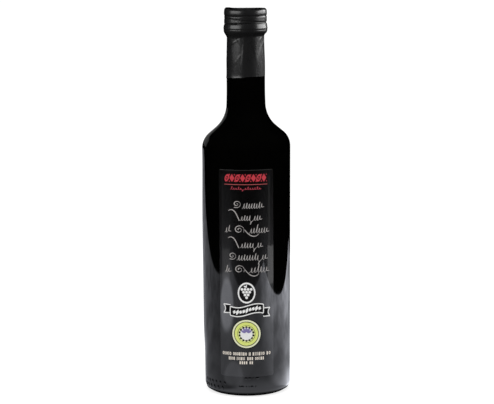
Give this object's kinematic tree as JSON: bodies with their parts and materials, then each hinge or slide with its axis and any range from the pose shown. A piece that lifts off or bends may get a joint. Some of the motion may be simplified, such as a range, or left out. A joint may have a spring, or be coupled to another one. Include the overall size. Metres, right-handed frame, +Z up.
{
  "type": "vinegar bottle",
  "caption": "Full, sealed glass vinegar bottle, tall and round, with a long neck, a screw cap under a black shrink capsule and a narrow dark film label.",
  "frame": {"origin": "centre of the ring the bottle stands on, at the surface under it", "axes": "+Z up along the bottle's axis, -Y out of the front through the middle of the label, +X to the right of someone facing the label"},
  "size_m": [0.065, 0.0651, 0.284],
  "materials": {
    "glass": "gloss",
    "cap": "satin",
    "capsule": "satin",
    "label_film": "satin",
    "print_red": "satin",
    "print_grey": "satin",
    "print_white": "satin",
    "print_cream": "satin",
    "print_lime": "satin",
    "print_violet": "satin"
  },
  "bodies": {
    "root": {"bottle": "glass", "screw_cap": "cap", "capsule": "capsule", "label": "label_film"}
  },
  "joints": []
}
